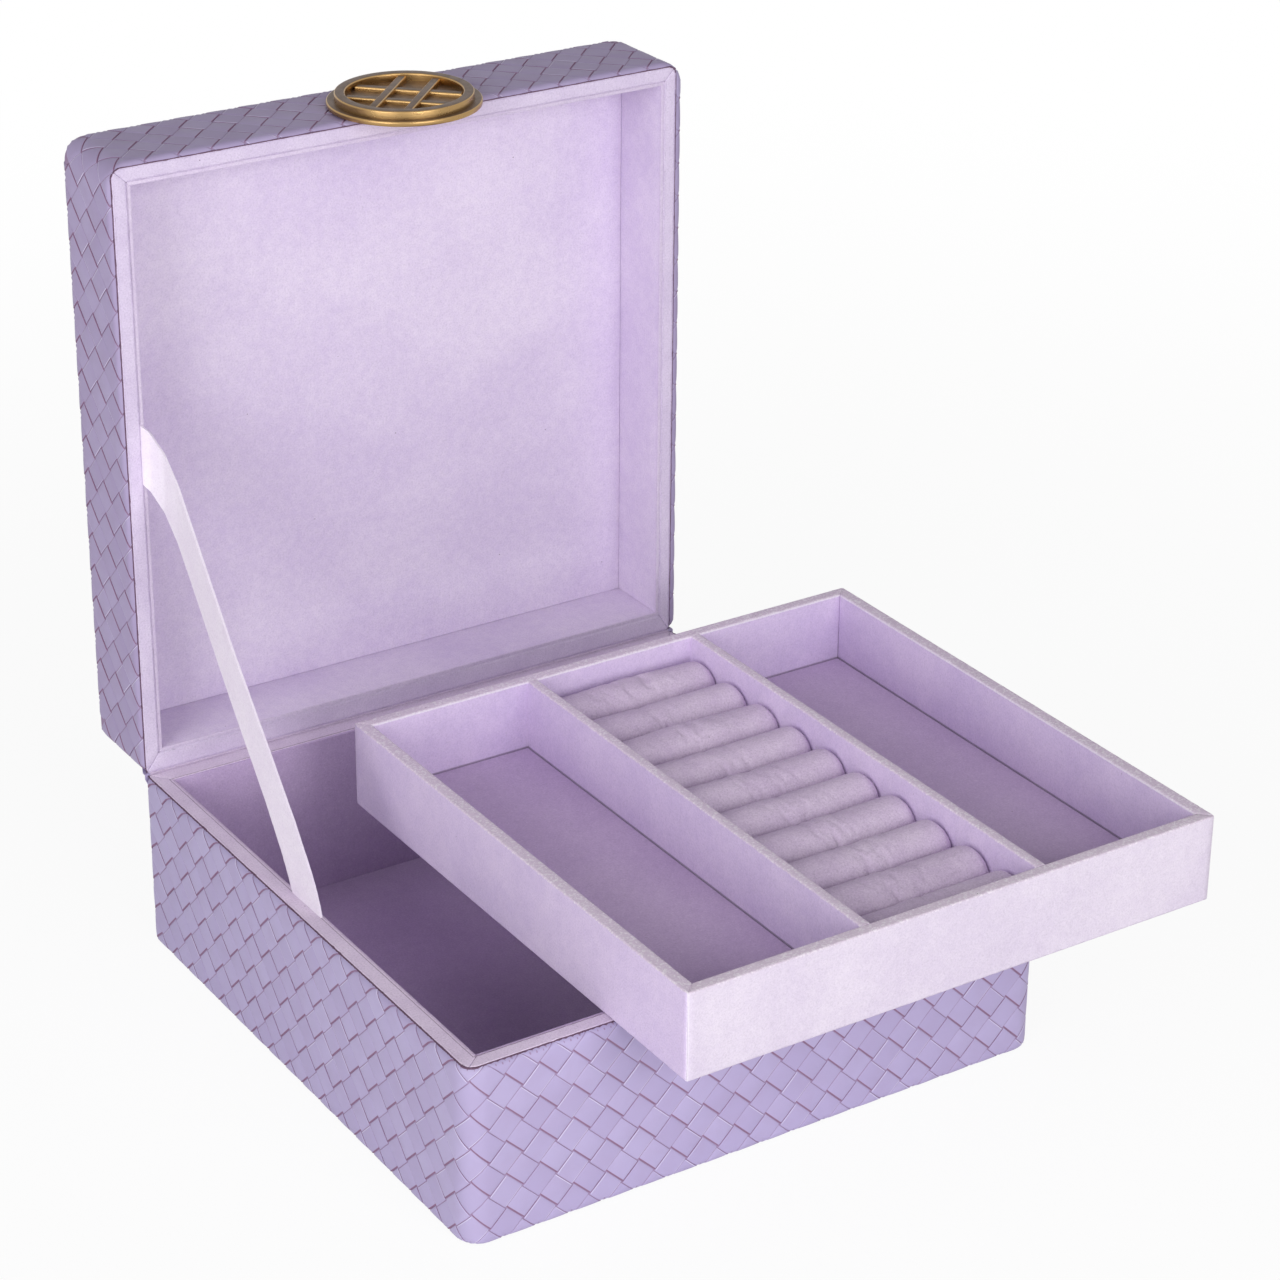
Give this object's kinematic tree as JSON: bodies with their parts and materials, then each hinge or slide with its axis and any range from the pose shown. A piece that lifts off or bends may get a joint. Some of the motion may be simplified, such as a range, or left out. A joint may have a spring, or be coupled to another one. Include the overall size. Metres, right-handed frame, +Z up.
{
  "type": "jewellery box",
  "caption": "Square jewellery box in woven leather with a suede lining, a hinged lid on a ribbon stay, a round metal medallion and a lift-out tray with ring rolls.",
  "frame": {"origin": "middle of the underside of the base", "axes": "X to the right, Y to the back where the lid is hinged, Z up"},
  "size_m": [0.2329, 0.2682, 0.2639],
  "materials": {
    "leather": "embossed basket-weave imitation leather, satin, lilac",
    "suede": "short-nap suede, lilac",
    "suede_board": "fibreboard wrapped in short-nap lilac suede",
    "board": "bare fibreboard, hidden",
    "felt": "thin felt",
    "gold": "satin gold plating"
  },
  "bodies": {
    "base": {"base_band_back": "suede", "base_band_front": "suede", "base_band_left": "suede", "base_band_right": "suede", "base_bottom_cover": "felt", "base_floor_board": "board", "base_floor_pad": "suede", "base_leather": "leather", "base_lining_back": "suede", "base_lining_front": "suede", "base_lining_left": "suede", "base_lining_right": "suede", "base_wall_back": "board", "base_wall_front": "board", "base_wall_left": "board", "base_wall_right": "board", "hinge_strip": "leather", "ribbon_stay": "suede"},
    "lid": {"lid_band_back": "suede", "lid_band_front": "suede", "lid_band_left": "suede", "lid_band_right": "suede", "lid_ceiling_pad": "suede", "lid_leather": "leather", "lid_lining_back": "suede", "lid_lining_front": "suede", "lid_lining_left": "suede", "lid_lining_right": "suede", "lid_top_board": "board", "lid_wall_back": "board", "lid_wall_front": "board", "lid_wall_left": "board", "lid_wall_right": "board", "medallion_lattice": "gold", "medallion_pin_left": "gold", "medallion_pin_right": "gold", "medallion_plate": "gold", "medallion_ring": "gold", "medallion_seat": "felt"},
    "tray": {"ring_roll_01": "suede", "ring_roll_02": "suede", "ring_roll_03": "suede", "ring_roll_04": "suede", "ring_roll_05": "suede", "ring_roll_06": "suede", "ring_roll_07": "suede", "ring_roll_08": "suede", "ring_roll_09": "suede", "ring_roll_10": "suede", "tray_divider_left": "suede_board", "tray_divider_right": "suede_board", "tray_floor_board": "suede_board", "tray_pad_left": "suede", "tray_pad_right": "suede", "tray_wall_back": "suede_board", "tray_wall_front": "suede_board", "tray_wall_left": "suede_board", "tray_wall_right": "suede_board"}
  },
  "joints": [
    {"name": "lid_hinge", "type": "hinge", "parent": "base", "child": "lid", "pos_m": [0, 0.1004, 0.059], "axis": [1, 0, 0], "range_deg": [0, 90], "deforming": ["hinge_strip", "ribbon_stay"]},
    {"name": "tray_slide", "type": "slide", "parent": "base", "child": "tray", "axis": [0, -1, 0], "range_m": [0, 0.181]}
  ],
  "couplings": [
    {"joint": "tray_slide", "follows": "lid_hinge", "m_per_rad": 0.11459}
  ]
}
